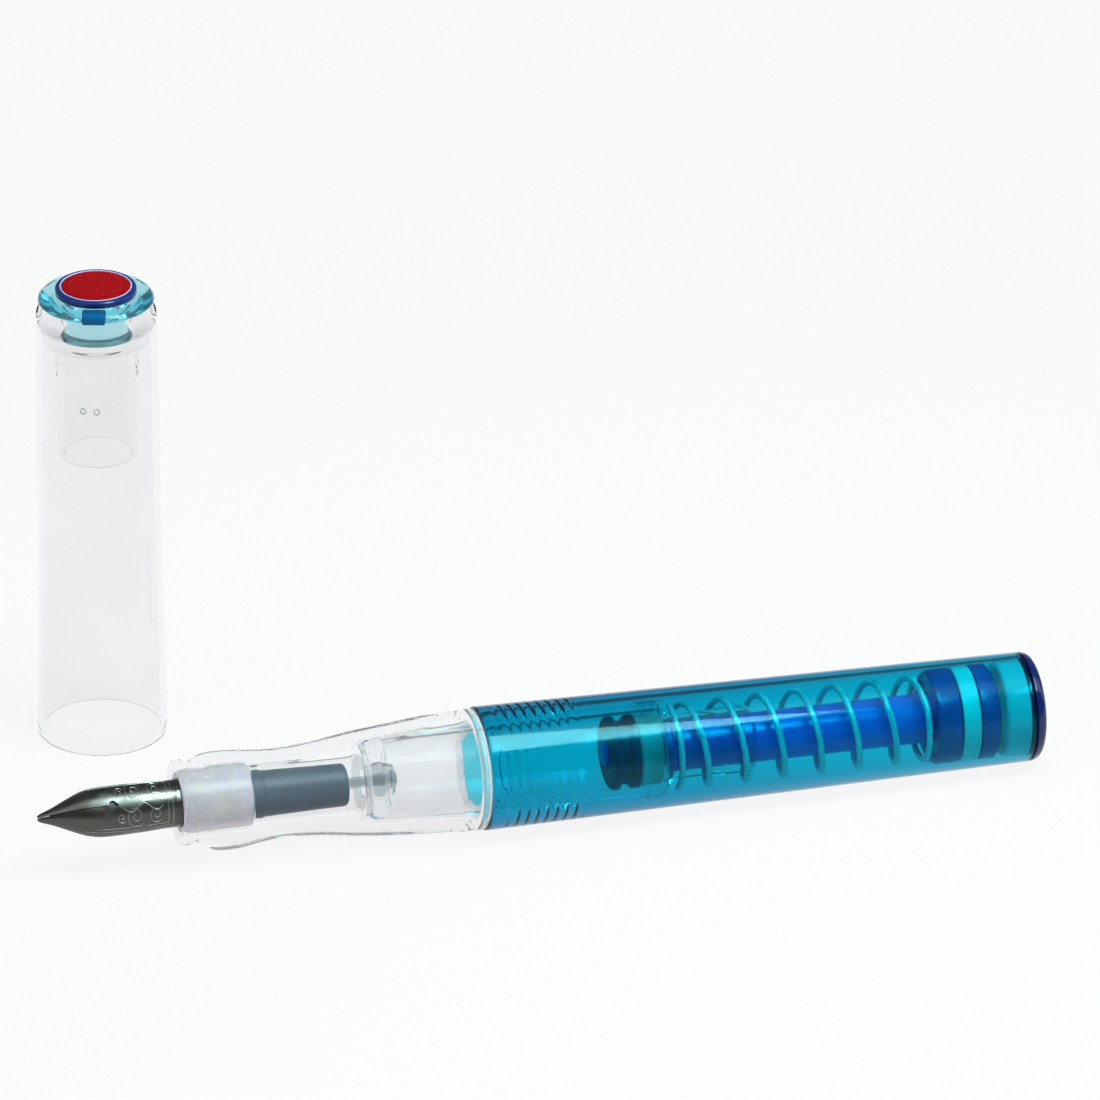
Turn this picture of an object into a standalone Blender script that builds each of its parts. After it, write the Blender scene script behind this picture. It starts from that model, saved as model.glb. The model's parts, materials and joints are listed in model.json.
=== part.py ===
"""A clear fountain pen with a sprung piston filler, lying on its side beside its standing cap.

Metres, +Z up. The pen points its nib to -X and lies on the taper of its barrel. The cap stands
on its open end behind the nib. Stations and radii below are millimetres: a pen piece's stations
run along the pen from the barrel's mouth, negative towards the nib, and a cap piece's stations
are heights above the cap's rim.
"""

import math

import bmesh
import bpy
from mathutils import Matrix, Vector

MM = 0.001

# Facets of the turned pieces. The pen's roll is a whole number of its facets, so that nested
# pieces keep their facets in line and one corner line of the barrel lies on the floor.
PEN_SIDES = 36
CAP_SIDES = 36
INNER_SIDES = 18
TUBE_SIDES = 12
FIT = 0.1  # radial play between pieces that slide into each other
SEAT = 0.15  # axial play between pieces that butt

# Where the pieces lie
PEN_ROLL = math.radians(50)  # the nib's face is rolled towards -Y
CAP_FROM_NIB = 17.4  # cap axis behind the nib's tip, along X
CAP_FROM_PEN = 38.1  # cap axis beside the pen's axis, along Y

# Barrel
BARREL_MOUTH_R = 7.8
BARREL_END_R = 6.95
BARREL_LENGTH = 71.2
BARREL_BORE_MOUTH_R = 6.55
BARREL_BORE_END_R = 6.15
PLUG_INNER_END = 67.6
PLUG_FLANGE = 1.3
PEN_END = BARREL_LENGTH + SEAT + PLUG_FLANGE
RING_WIDTH = 0.8

# Section, nib and feed
SECTION_REAR = -(RING_WIDTH + 2 * SEAT)
SECTION_FRONT = -38.9
SLEEVE_BORE_R = 4.0
SLEEVE_REAR = -29.6
COLLECTOR_BORE_R = 3.2
CHAMBER_SEAT = -15.4
FLAT_ANGLE = math.radians(60)  # each finger flat lies this far round from the nib's face
FLAT_FRONT = -36.6
FLAT_REAR = -5.0
NIB_TIP = -56.5
NIB_TAIL = -31.0
NIB_SHEET = 0.3
HOLE_STATION = -47.4
HOLE_R = 0.55
SLIT_WIDTH = 0.16
FEED_FRONT = -49.5
FEED_REAR = -30.0
FEED_CROWN_R = 2.5
FEED_BELLY_R = 2.95
FIN_FRONT = -46.6
FIN_PITCH = 0.8
FINS = 8

# Ink chamber and piston
CHAMBER_R = 5.65  # behind its thread
CHAMBER_BORE_R = 4.7
CHAMBER_REAR = 23.1
THREAD_START = 2.0
THREAD_PITCH = 1.25
THREAD_TURNS = 8
THREAD_CREST_R = 6.35
THREAD_ROOT_R = 5.9
GUIDE_SKIRT_FRONT = 20.6
GUIDE_FLANGE = (23.25, 24.15)
GUIDE_COLLAR_FRONT = 31.2
GUIDE_REAR = 35.2
GUIDE_R = 4.1
ROD_R = 3.15
ROD_PIN_R = 1.5
SEAL_FRONT = 16.5
SEAL_REAR = 20.0
HEAD_REAR = 23.05
KNOB_FRONT = 58.5
KNOB_REAR = 66.9
KNOB_R = 6.0
BAND = (61.8, 64.1)

# Spring
SPRING_OUTER_R = 5.6
SPRING_WIRE_R = 0.4
SPRING_FRONT = 24.75
SPRING_REAR = 57.95
SPRING_TURNS = 6.5
SPRING_STEPS = 14  # stretches of wire in each turn
WIRE_SIDES = 5

# Cap
CAP_HEIGHT = 58.9
CAP_RIM_R = 8.2
CAP_TOP_R = 7.55
CAP_MOUTH_R = 7.5
RIB_COUNT = 6
RIB_HEIGHTS = (14.0, 28.0)
RIB_DEPTH = 0.5
INNER_CAP_MOUTH = 39.0
INNER_CAP_TOP = 55.75
INNER_CAP_R = 5.0
INNER_CAP_BORE_R = 4.0
NECK_RIDGES = 4
NECK_START = 49.2
NECK_PITCH = 1.0
NECK_CREST_R = 5.3
FLANGE_R = 7.3
FLANGE_RISE = 2.25
STEM_R = 4.2
LUG_WIDTH = 3.0
LUG_R = 7.5
RIB_ANGLE = math.radians(-97)  # round the cap from +X, the one nearest the pen
LUG_ANGLE = math.radians(-109)
BEZEL_R = 5.13
DISC_R = 4.3
BADGE_SEAT = CAP_HEIGHT + 2 * SEAT + FLANGE_RISE - 0.4

TAPER = math.atan((BARREL_MOUTH_R - BARREL_END_R) / BARREL_LENGTH)


def clear_scene():
    for old in list(bpy.data.objects):
        bpy.data.objects.remove(old, do_unlink=True)


def material(name, colour, roughness, metallic=0.0, transmission=0.0):
    """A Principled surface with the sub-part's colour."""
    made = bpy.data.materials.new(name)
    made.use_nodes = True
    surface = made.node_tree.nodes["Principled BSDF"]
    surface.inputs["Base Color"].default_value = (*colour, 1)
    surface.inputs["Roughness"].default_value = roughness
    surface.inputs["Metallic"].default_value = metallic
    surface.inputs["Transmission Weight"].default_value = transmission
    made.diffuse_color = (*colour, 1)
    return made


def add_object(name, mesh, surface, parent):
    """An object with one material, shaded smooth except at real edges."""
    obj = bpy.data.objects.new(name, mesh)
    bpy.context.scene.collection.objects.link(obj)
    mesh.materials.append(surface)
    mesh.shade_smooth()
    mesh.set_sharp_from_angle(angle=math.radians(32))
    obj.parent = parent
    return obj


def mesh_from(name, vertices, faces):
    """A mesh from corner points in millimetres, its faces turned outwards."""
    mesh = bpy.data.meshes.new(name)
    mesh.from_pydata([Vector(v) * MM for v in vertices], [], faces)
    shape = bmesh.new()
    shape.from_mesh(mesh)
    bmesh.ops.recalc_face_normals(shape, faces=shape.faces)
    shape.to_mesh(mesh)
    shape.free()
    return mesh


def turned(name, profile, sides=PEN_SIDES, reach=None):
    """A mesh turned about +X from (station, radius) points.

    A profile that starts and ends on the axis makes a solid. Any other is closed on itself and
    makes a tube. reach(station, radius, angle) may change the radius round the axis, where the
    angle is measured from +Z towards -Y.
    """
    vertices, rings, faces = [], [], []
    for station, radius in profile:
        if radius <= 0:
            rings.append([len(vertices)])
            vertices.append((station, 0, 0))
            continue
        rings.append(range(len(vertices), len(vertices) + sides))
        for side in range(sides):
            angle = 2 * math.pi * side / sides
            r = reach(station, radius, angle) if reach else radius
            vertices.append((station, -r * math.sin(angle), r * math.cos(angle)))
    solid = profile[0][1] <= 0
    pairs = list(zip(rings, rings[1:]))
    if not solid:
        pairs.append((rings[-1], rings[0]))
    for first, second in pairs:
        for side in range(sides):
            after = (side + 1) % sides
            corners = [first[side % len(first)], first[after % len(first)]]
            corners += [second[after % len(second)], second[side % len(second)]]
            faces.append(list(dict.fromkeys(corners)))
    return mesh_from(name, vertices, faces)


def ring(name, stations, inner, outer, sides=PEN_SIDES, chamfer=0.1):
    """A plain tube with its outer edges eased."""
    front, rear = stations
    profile = [
        (front, inner),
        (front, outer - chamfer),
        (front + chamfer, outer),
        (rear - chamfer, outer),
        (rear, outer - chamfer),
        (rear, inner),
    ]
    return turned(name, profile, sides)


def o_ring(name, station, middle, wire, sides=INNER_SIDES, corners=6):
    """A round seal: a circle of the wire's radius turned at the middle radius."""
    profile = []
    for corner in range(corners):
        angle = 2 * math.pi * (corner + 0.5) / corners
        profile.append((station + wire * math.cos(angle), middle + wire * math.sin(angle)))
    return turned(name, profile, sides)


def angle_apart(a, b):
    return abs((a - b + math.pi) % (2 * math.pi) - math.pi)


def finger_flats(station, radius, angle):
    """The section's radius with a shallow finger flat on either side of the nib's face."""
    depths = [(FLAT_FRONT, 7), (-35.4, 4.95), (-33, 4.85), (-30, 4.76), (-26, 4.62), (-22, 4.87)]
    depths += [(-17.5, 5.4), (-15, 5.72), (-10, 6.3), (FLAT_REAR, 7.3)]
    if not FLAT_FRONT < station < FLAT_REAR or radius < 5:
        return radius
    depth = between_straight(station, depths)
    for middle in (FLAT_ANGLE, -FLAT_ANGLE):
        away = angle_apart(angle, middle)
        if away < math.radians(60):
            radius = min(radius, depth / math.cos(away))
    return radius


def grip_section():
    outer = [
        (SECTION_FRONT, 5.05),
        (-38.5, 5.4),
        (-37.8, 5.4),
        (-37.3, 5.1),
        (-36.7, 5.0),
        (-35.8, 5.55),
        (-34.9, 6.2),
        (-34.0, 6.45),
        (-32.5, 6.48),
        (-31.0, 6.38),
        (-29.5, 6.12),
        (-28.0, 5.86),
        (-26.0, 5.66),
        (-24.0, 5.7),
        (-22.0, 5.86),
        (-19.5, 6.14),
        (-16.0, 6.62),
        (-13.0, 6.92),
        (-10.0, 7.15),
        (-7.0, 7.33),
        (-3.3, 7.48),
        (-3.1, 7.6),
        (SECTION_REAR - 0.2, 7.6),
        (SECTION_REAR, 7.4),
    ]
    bore = [
        (SECTION_REAR, 5.85),
        (CHAMBER_SEAT, 4.98),
        (CHAMBER_SEAT, COLLECTOR_BORE_R),
        (SLEEVE_REAR, COLLECTOR_BORE_R),
        (SLEEVE_REAR, SLEEVE_BORE_R),
        (SECTION_FRONT, SLEEVE_BORE_R),
    ]
    return turned("grip_section", outer + bore, reach=finger_flats)


def nib_outline(station):
    """(crown height, half width, edge height) of the nib sheet's outer face."""
    crown = [(NIB_TIP, 0.3), (-55.4, 0.85), (-52.6, 2.1), (-50.2, 2.85), (-46, 3.0), (-39, 2.95)]
    half = [(NIB_TIP, 0.4), (-55.2, 0.85), (-52.6, 2.0), (-49.4, 3.1), (-46.5, 3.2), (-40, 2.95)]
    edge = [(NIB_TIP, 0.05), (-52, -0.1), (-46, -0.3), (-39, -0.35)]
    return tuple(between_straight(station, points) for points in (crown, half, edge))


def between_straight(value, points):
    """The value of a straight-stepped line through (station, value) points."""
    for (a, first), (b, second) in zip(points, points[1:]):
        if value <= b:
            return first + (second - first) * max(value - a, 0) / (b - a)
    return points[-1][1]


def nib_arc(station, inset, across):
    """A point across the nib at -1 to 1 from edge to edge, this far inside its outer face."""
    crown, half, edge = nib_outline(station)
    rise = max(crown - edge, 0.02)
    radius = (half * half + rise * rise) / (2 * rise)
    centre = crown - radius
    reach = math.atan2(half, edge - centre)
    angle = across * reach
    inner = radius - min(inset, 0.6 * rise)
    return (station, -inner * math.sin(angle), centre + inner * math.cos(angle))


def nib(parent, surface):
    """A curved steel sheet with a slit from its tip to a round breather hole."""
    stations = [NIB_TIP, -55.9, -55.2, -54.3, -53.4, -52.5, -51.6, -50.7, -49.8, -48.6]
    stations += [HOLE_STATION, -46.2, -44, -42, -40, -36, NIB_TAIL]
    columns = [-1 + 2 * i / 12 for i in range(13)]
    vertices = [nib_arc(s, 0, c) for s in stations for c in columns]
    vertices += [nib_arc(s, NIB_SHEET, c) for s in stations for c in columns]
    across, under = len(columns), len(stations) * len(columns)
    faces = []
    for row in range(len(stations) - 1):
        for column in range(across - 1):
            a = row * across + column
            faces.append((a, a + 1, a + across + 1, a + across))
            faces.append((under + a, under + a + across, under + a + across + 1, under + a + 1))
        for a in (row * across, row * across + across - 1):
            faces.append((a, a + across, under + a + across, under + a))
    for first in (0, (len(stations) - 1) * across):
        for a in range(first, first + across - 1):
            faces.append((a, a + 1, under + a + 1, under + a))
    obj = add_object("nib", mesh_from("nib", vertices, faces), surface, parent)
    slit = HOLE_STATION - NIB_TIP
    cut(obj, "slit", box("slit", slit + 2, SLIT_WIDTH, 6, HOLE_STATION - slit / 2 - 1))
    cut(obj, "breather", drill("breather", HOLE_STATION, HOLE_R))
    return obj


def box(name, length, width, height, station):
    """A box centred at the station, its height reaching up from the axis."""
    corners = [(i, j, k) for i in (-0.5, 0.5) for j in (-0.5, 0.5) for k in (-0.1, 0.9)]
    vertices = [(station + i * length, j * width, k * height) for i, j, k in corners]
    faces = [(0, 1, 3, 2), (4, 5, 7, 6), (0, 1, 5, 4), (2, 3, 7, 6), (0, 2, 6, 4), (1, 3, 7, 5)]
    return mesh_from(name, vertices, faces)


def drill(name, station, radius, sides=12):
    """A round cutter standing on the axis at the station."""
    vertices, faces = [], []
    for height in (0.5, 6):
        for side in range(sides):
            angle = 2 * math.pi * side / sides
            vertices.append((station + radius * math.cos(angle), radius * math.sin(angle), height))
    faces += [list(range(sides)), list(range(sides, 2 * sides))]
    for side in range(sides):
        after = (side + 1) % sides
        faces.append((side, after, sides + after, sides + side))
    return mesh_from(name, vertices, faces)


def cut(obj, name, mesh):
    """Subtracts a mesh, in the object's own frame, from the object."""
    cutter = bpy.data.objects.new(name + "_cutter", mesh)
    bpy.context.scene.collection.objects.link(cutter)
    cutter.parent = obj.parent
    cutter.hide_render = True
    cutter.display_type = "WIRE"
    modifier = obj.modifiers.new(name, "BOOLEAN")
    modifier.operation = "DIFFERENCE"
    modifier.solver = "EXACT"
    modifier.object = cutter


def feed_reach(station, radius, angle):
    """The feed is round below, and its crown stays inside the nib."""
    crown = min(FEED_CROWN_R, nib_outline(station)[0] - NIB_SHEET - FIT)
    if angle_apart(angle, 0) < math.radians(105):
        return min(radius, crown)
    return radius


def feed():
    profile = [(FEED_FRONT, 0), (FEED_FRONT, 0.9), (-48.6, 1.7), (-47.6, 2.5)]
    for fin in range(FINS):
        front = FIN_FRONT + fin * FIN_PITCH
        profile += [(front - 0.4, 2.0), (front, 2.0), (front, FEED_BELLY_R)]
        profile.append((front + 0.4, FEED_BELLY_R))
        profile.append((front + 0.4, 2.0))
    profile += [(-39.6, 2.0), (-39.6, FEED_BELLY_R), (FEED_REAR, FEED_BELLY_R), (FEED_REAR, 0)]
    profile = [p for i, p in enumerate(profile) if i == 0 or p != profile[i - 1]]
    return turned("feed", profile, INNER_SIDES, feed_reach)


def ink_collector():
    profile = [
        (FEED_REAR + SEAT, 0),
        (FEED_REAR + SEAT, 2.75),
        (-29.4, 3.0),
        (-28.2, 3.0),
        (-28.0, 2.85),
        (-17.4, 2.6),
        (-17.1, 2.3),
        (-17.1, 0),
    ]
    return turned("ink_collector", profile, INNER_SIDES)


def ink_chamber():
    outer = [(-14.4, 4.5), (-13.9, 4.9)]
    outer += [(0, 5.55), (THREAD_START, 5.55)]
    for turn in range(THREAD_TURNS):
        start = THREAD_START + turn * THREAD_PITCH
        outer.append((start, THREAD_ROOT_R))
        outer.append((start + THREAD_PITCH / 2, THREAD_CREST_R))
    outer += [(12.2, THREAD_ROOT_R), (12.4, CHAMBER_R), (CHAMBER_REAR, CHAMBER_R)]
    bore = [(CHAMBER_REAR, CHAMBER_BORE_R), (-7, CHAMBER_BORE_R + 0.05), (-12.2, 4.35)]
    bore += [(-12.6, 2.05), (-14.4, 2.05)]
    return turned("ink_chamber", outer + bore)


def piston_guide():
    """The nut over the chamber's rear end, with the sleeve that guides the rod."""
    front, rear = GUIDE_FLANGE
    skirt = CHAMBER_R + 2 * FIT
    profile = [
        (GUIDE_SKIRT_FRONT, skirt),
        (GUIDE_SKIRT_FRONT, skirt + 0.25),
        (rear, skirt + 0.25),
        (rear, GUIDE_R),
        (GUIDE_COLLAR_FRONT, GUIDE_R),
        (GUIDE_COLLAR_FRONT, GUIDE_R + 0.15),
        (GUIDE_REAR - 0.2, GUIDE_R + 0.15),
        (GUIDE_REAR, GUIDE_R - 0.05),
        (GUIDE_REAR, ROD_R + FIT),
        (front, ROD_R + FIT),
        (front, skirt),
    ]
    return turned("piston_guide", profile, INNER_SIDES)


def plunger_rod():
    profile = [
        (SEAL_FRONT - 0.6, 0),
        (SEAL_FRONT - 0.6, ROD_PIN_R - 0.2),
        (SEAL_FRONT - 0.3, ROD_PIN_R),
        (HEAD_REAR + SEAT, ROD_PIN_R),
        (HEAD_REAR + SEAT, ROD_R),
        (KNOB_FRONT + 3.5, ROD_R),
        (KNOB_FRONT + 3.8, ROD_R - 0.3),
        (KNOB_FRONT + 3.8, 0),
    ]
    return turned("plunger_rod", profile, INNER_SIDES)


def plunger_knob():
    socket = ROD_R + FIT
    front, rear = BAND
    groove = KNOB_R - 0.6
    profile = [
        (KNOB_FRONT, socket),
        (KNOB_FRONT, KNOB_R - 0.3),
        (KNOB_FRONT + 0.3, KNOB_R),
        (front - SEAT, KNOB_R),
        (front - SEAT, groove),
        (rear + SEAT, groove),
        (rear + SEAT, KNOB_R),
        (KNOB_REAR - 0.6, KNOB_R),
        (KNOB_REAR, KNOB_R - 0.7),
        (KNOB_REAR, 0),
    ]
    socket_end = KNOB_FRONT + 3.8 + SEAT
    profile = [(socket_end, 0), (socket_end, socket)] + profile
    return turned("plunger_knob", profile, INNER_SIDES)


def piston_seal():
    """A double-lipped rubber cup on the rod's pin."""
    wiper = CHAMBER_BORE_R - 0.08
    profile = [
        (SEAL_FRONT, ROD_PIN_R + FIT),
        (SEAL_FRONT, 3.4),
        (SEAL_FRONT + 0.1, wiper),
        (SEAL_FRONT + 0.9, wiper),
        (SEAL_FRONT + 1.2, 4.0),
        (SEAL_REAR - 1.2, 4.0),
        (SEAL_REAR - 0.9, wiper),
        (SEAL_REAR, wiper),
        (SEAL_REAR, ROD_PIN_R + FIT),
    ]
    return turned("piston_seal", profile, INNER_SIDES)


def piston_head():
    stations = (SEAL_REAR + SEAT, HEAD_REAR)
    outer = CHAMBER_BORE_R - 0.25
    return ring("piston_head", stations, ROD_PIN_R + FIT, outer, INNER_SIDES, chamfer=0.25)


def spring():
    """A compression spring: a wire swept along a helix, with its ends closed."""
    steps = round(SPRING_TURNS * SPRING_STEPS)
    middle = SPRING_OUTER_R - SPRING_WIRE_R
    rise = (SPRING_REAR - SPRING_FRONT) / steps
    lead = math.atan2(rise * SPRING_STEPS, 2 * math.pi * middle)
    vertices, faces = [], []
    for step in range(steps + 1):
        angle = 2 * math.pi * step / SPRING_STEPS
        out = Vector((0, -math.sin(angle), math.cos(angle)))
        round_it = Vector((0, -math.cos(angle), -math.sin(angle)))
        across = Vector((1, 0, 0)) * math.cos(lead) - round_it * math.sin(lead)
        centre = Vector((SPRING_FRONT + rise * step, 0, 0)) + out * middle
        for side in range(WIRE_SIDES):
            turn = 2 * math.pi * side / WIRE_SIDES
            offset = out * math.cos(turn) + across * math.sin(turn)
            vertices.append(centre + offset * SPRING_WIRE_R)
    for step in range(steps):
        for side in range(WIRE_SIDES):
            after = (side + 1) % WIRE_SIDES
            a, b = step * WIRE_SIDES, (step + 1) * WIRE_SIDES
            faces.append((a + side, a + after, b + after, b + side))
    faces.append(list(range(WIRE_SIDES)))
    faces.append([steps * WIRE_SIDES + side for side in range(WIRE_SIDES)])
    return mesh_from("spring", vertices, faces)


def barrel():
    taper = (BARREL_MOUTH_R - BARREL_END_R) / BARREL_LENGTH
    profile = [
        (0, BARREL_BORE_MOUTH_R),
        (0, BARREL_MOUTH_R - 0.15),
        (0.15, BARREL_MOUTH_R - 0.15 * taper),
        (BARREL_LENGTH - 0.1, BARREL_END_R + 0.1 * taper),
        (BARREL_LENGTH, BARREL_END_R - 0.1),
        (BARREL_LENGTH, BARREL_BORE_END_R),
        (PLUG_INNER_END, BARREL_BORE_END_R),
    ]
    return turned("barrel", profile)


def barrel_end_plug():
    flange = BARREL_LENGTH + SEAT
    profile = [
        (PLUG_INNER_END, 0),
        (PLUG_INNER_END, BARREL_BORE_END_R - FIT - 0.3),
        (PLUG_INNER_END + 0.3, BARREL_BORE_END_R - FIT),
        (flange, BARREL_BORE_END_R - FIT),
        (flange, BARREL_END_R - 0.1),
        (flange + 0.1, BARREL_END_R - 0.02),
    ]
    steps = 4
    for step in range(steps + 1):
        angle = math.pi / 2 * step / steps
        profile.append((PEN_END - 1 + math.sin(angle), BARREL_END_R - 1.05 + math.cos(angle)))
    return turned("barrel_end_plug", profile + [(PEN_END, 0)])


def cap_turn(angle):
    """An angle round the cap from +X, as the turned pieces of the standing cap measure it."""
    return angle + math.pi


def cap_bore(height):
    """The cap's inner radius at a height, ribs apart."""
    return between_straight(height, [(0, CAP_MOUTH_R), (30, 7.0), (CAP_HEIGHT, 6.75)])


def cap_outside(height):
    return CAP_RIM_R + (CAP_TOP_R - CAP_RIM_R) * height / CAP_HEIGHT


def grip_ribs(station, radius, angle):
    """The cap's bore with narrow ribs that centre the pen's section."""
    low, high = RIB_HEIGHTS
    if radius > cap_bore(station) + 0.01 or not low < station < high:
        return radius
    spacing = 2 * math.pi / RIB_COUNT
    away = (angle - cap_turn(RIB_ANGLE)) % spacing
    away = min(away, spacing - away)
    return radius - RIB_DEPTH if away < math.pi / CAP_SIDES else radius


def cap_shell():
    roof = INNER_CAP_TOP + SEAT
    hole = STEM_R + FIT
    low, high = RIB_HEIGHTS
    profile = [
        (0, CAP_MOUTH_R + 0.05),
        (0, CAP_RIM_R - 0.15),
        (0.15, cap_outside(0.15)),
        (CAP_HEIGHT - 0.5, cap_outside(CAP_HEIGHT - 0.5)),
        (CAP_HEIGHT - 0.15, CAP_TOP_R - 0.15),
        (CAP_HEIGHT, CAP_TOP_R - 0.5),
        (CAP_HEIGHT, hole),
        (roof + 0.6, hole),
        (roof + 0.6, cap_bore(roof + 0.6)),
    ]
    for height in (high, high - 0.3, low + 1.2, low):
        profile.append((height, cap_bore(height)))
    return turned("cap_shell", profile, CAP_SIDES, grip_ribs)


def inner_cap():
    """The liner that seals the nib, with a flange in the cap's bore and a threaded neck."""
    collar = cap_bore(INNER_CAP_TOP) - FIT
    ceiling = INNER_CAP_TOP - 1.45
    profile = [
        (ceiling, 0),
        (ceiling, INNER_CAP_BORE_R - 0.2),
        (ceiling - 0.2, INNER_CAP_BORE_R),
        (INNER_CAP_MOUTH, INNER_CAP_BORE_R),
        (INNER_CAP_MOUTH, INNER_CAP_R - 0.15),
        (INNER_CAP_MOUTH + 0.2, INNER_CAP_R),
        (NECK_START, INNER_CAP_R),
    ]
    for ridge in range(NECK_RIDGES):
        start = NECK_START + ridge * NECK_PITCH
        profile.append((start + NECK_PITCH / 2, NECK_CREST_R))
        profile.append((start + NECK_PITCH, INNER_CAP_R))
    profile += [
        (INNER_CAP_TOP - 0.8, INNER_CAP_R),
        (INNER_CAP_TOP - 0.8, collar),
        (INNER_CAP_TOP, collar),
        (INNER_CAP_TOP, 0),
    ]
    return turned("inner_cap", profile, CAP_SIDES)


def lug_reach(station, radius, angle):
    """The finial's flange with a small roll stop standing on its upper half."""
    if station < CAP_HEIGHT + SEAT + 0.9 or radius < 6:
        return radius
    half = math.asin(LUG_WIDTH / 2 / FLANGE_R)
    return LUG_R if angle_apart(angle, cap_turn(LUG_ANGLE)) < half else radius


def cap_finial():
    under = CAP_HEIGHT + SEAT
    profile = [
        (INNER_CAP_TOP + SEAT, 0),
        (INNER_CAP_TOP + SEAT, STEM_R - 0.3),
        (INNER_CAP_TOP + SEAT + 0.3, STEM_R),
        (under, STEM_R),
        (under, 5.1),
        (under + 0.35, 5.85),
        (under + 0.7, 6.6),
        (under + 0.95, 7.1),
        (under + 1.15, FLANGE_R),
        (under + 1.45, 7.22),
        (under + 1.85, 6.85),
        (under + 2.15, 6.2),
        (under + FLANGE_RISE, BEZEL_R + FIT),
        (under + FLANGE_RISE - 0.4, BEZEL_R + FIT),
        (under + FLANGE_RISE - 0.4, 0),
    ]
    return turned("cap_finial", profile, CAP_SIDES, lug_reach)


def finial_bezel():
    profile = [
        (BADGE_SEAT, DISC_R + FIT),
        (BADGE_SEAT, BEZEL_R),
        (BADGE_SEAT + 0.7, BEZEL_R),
        (BADGE_SEAT + 0.9, BEZEL_R - 0.2),
        (BADGE_SEAT + 0.9, DISC_R + FIT),
    ]
    return turned("finial_bezel", profile, CAP_SIDES)


def finial_disc():
    profile = [
        (BADGE_SEAT, 0),
        (BADGE_SEAT, DISC_R),
        (BADGE_SEAT + 0.85, DISC_R),
        (BADGE_SEAT + 1.0, DISC_R - 0.15),
        (BADGE_SEAT + 1.0, 0),
    ]
    return turned("finial_disc", profile, CAP_SIDES)


def add_frames():
    """Two empties: the pen's axis at the barrel's mouth, and the cap's axis at its rim."""
    side_reach = CAP_FROM_PEN + CAP_RIM_R - BARREL_MOUTH_R
    pen_x = -(NIB_TIP + PEN_END) / 2 * math.cos(TAPER)
    pen_y = -side_reach / 2
    pen = bpy.data.objects.new("pen_axis", None)
    lift = BARREL_MOUTH_R * math.cos(TAPER)
    turn = Matrix.Rotation(TAPER, 4, "Y") @ Matrix.Rotation(PEN_ROLL, 4, "X")
    pen.matrix_world = Matrix.Translation(Vector((pen_x, pen_y, lift)) * MM) @ turn
    cap = bpy.data.objects.new("cap_axis", None)
    cap_x = pen_x + NIB_TIP * math.cos(TAPER) + CAP_FROM_NIB
    place = Matrix.Translation(Vector((cap_x, pen_y + CAP_FROM_PEN, 0)) * MM)
    cap.matrix_world = place @ Matrix.Rotation(-math.pi / 2, 4, "Y")
    for frame in (pen, cap):
        bpy.context.scene.collection.objects.link(frame)
    return pen, cap


def build():
    clear_scene()
    pen, cap = add_frames()
    clear = material("clear_plastic", (0.93, 0.95, 0.96), 0.12, transmission=0.9)
    frosted = material("frosted_plastic", (0.90, 0.92, 0.93), 0.35, transmission=0.7)
    blue = material("blue_tint_plastic", (0.0, 0.45, 0.62), 0.08, transmission=0.8)
    plug_blue = material("deep_blue_tint_plastic", (0.0, 0.32, 0.55), 0.08, transmission=0.7)
    cyan = material("light_blue_tint_plastic", (0.25, 0.68, 0.85), 0.1, transmission=0.6)
    rod_blue = material("blue_plastic", (0.01, 0.09, 0.36), 0.3)
    knob_blue = material("bright_blue_plastic", (0.01, 0.15, 0.50), 0.25)
    green = material("pale_green_plastic", (0.42, 0.86, 0.80), 0.3)
    slate = material("inked_plastic", (0.06, 0.11, 0.17), 0.35)
    navy = material("navy_plastic", (0.01, 0.03, 0.20), 0.2)
    red = material("red_enamel", (0.55, 0.01, 0.015), 0.3)
    rubber = material("black_rubber", (0.02, 0.02, 0.022), 0.6)
    silicone = material("clear_silicone", (0.85, 0.87, 0.88), 0.3, transmission=0.5)
    steel = material("steel", (0.55, 0.55, 0.53), 0.22, 1.0)
    wire = material("spring_wire", (0.72, 0.74, 0.76), 0.25, 1.0)

    nib(pen, steel)
    add_object("feed", feed(), clear, pen)
    add_object("ink_collector", ink_collector(), slate, pen)
    tube = ring("breather_tube", (-17.0, -10.6), 0.35, 0.7, TUBE_SIDES, chamfer=0.05)
    add_object("breather_tube", tube, slate, pen)
    grommet = ring("inlet_grommet", (-14.3, -11.0), 0.8, 1.9, INNER_SIDES, chamfer=0.2)
    add_object("inlet_grommet", grommet, rubber, pen)
    sleeve = ring("nib_sleeve", (-38.5, SLEEVE_REAR - SEAT), 3.12, SLEEVE_BORE_R - FIT)
    add_object("nib_sleeve", sleeve, clear, pen)
    add_object("grip_section", grip_section(), frosted, pen)
    add_object("chamber_seal", o_ring("chamber_seal", -14.9, 3.95, 0.4), silicone, pen)
    add_object("ink_chamber", ink_chamber(), clear, pen)
    add_object("piston_guide", piston_guide(), clear, pen)
    add_object("spring", spring(), wire, pen)

    add_object("plunger_rod", plunger_rod(), rod_blue, pen)
    add_object("piston_seal", piston_seal(), rubber, pen)
    add_object("piston_head", piston_head(), clear, pen)
    add_object("plunger_knob", plunger_knob(), knob_blue, pen)
    band = ring("knob_band", BAND, KNOB_R - 0.6 + FIT, KNOB_R, INNER_SIDES)
    add_object("knob_band", band, green, pen)

    mouth = ring("barrel_ring", (SECTION_REAR + SEAT, -SEAT), BARREL_BORE_MOUTH_R, 7.65)
    add_object("barrel_ring", mouth, silicone, pen)
    add_object("barrel", barrel(), blue, pen)
    add_object("barrel_end_plug", barrel_end_plug(), plug_blue, pen)

    add_object("cap_shell", cap_shell(), clear, cap)
    add_object("inner_cap", inner_cap(), clear, cap)
    add_object("cap_finial", cap_finial(), cyan, cap)
    add_object("finial_bezel", finial_bezel(), navy, cap)
    add_object("finial_disc", finial_disc(), red, cap)


build()
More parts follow.
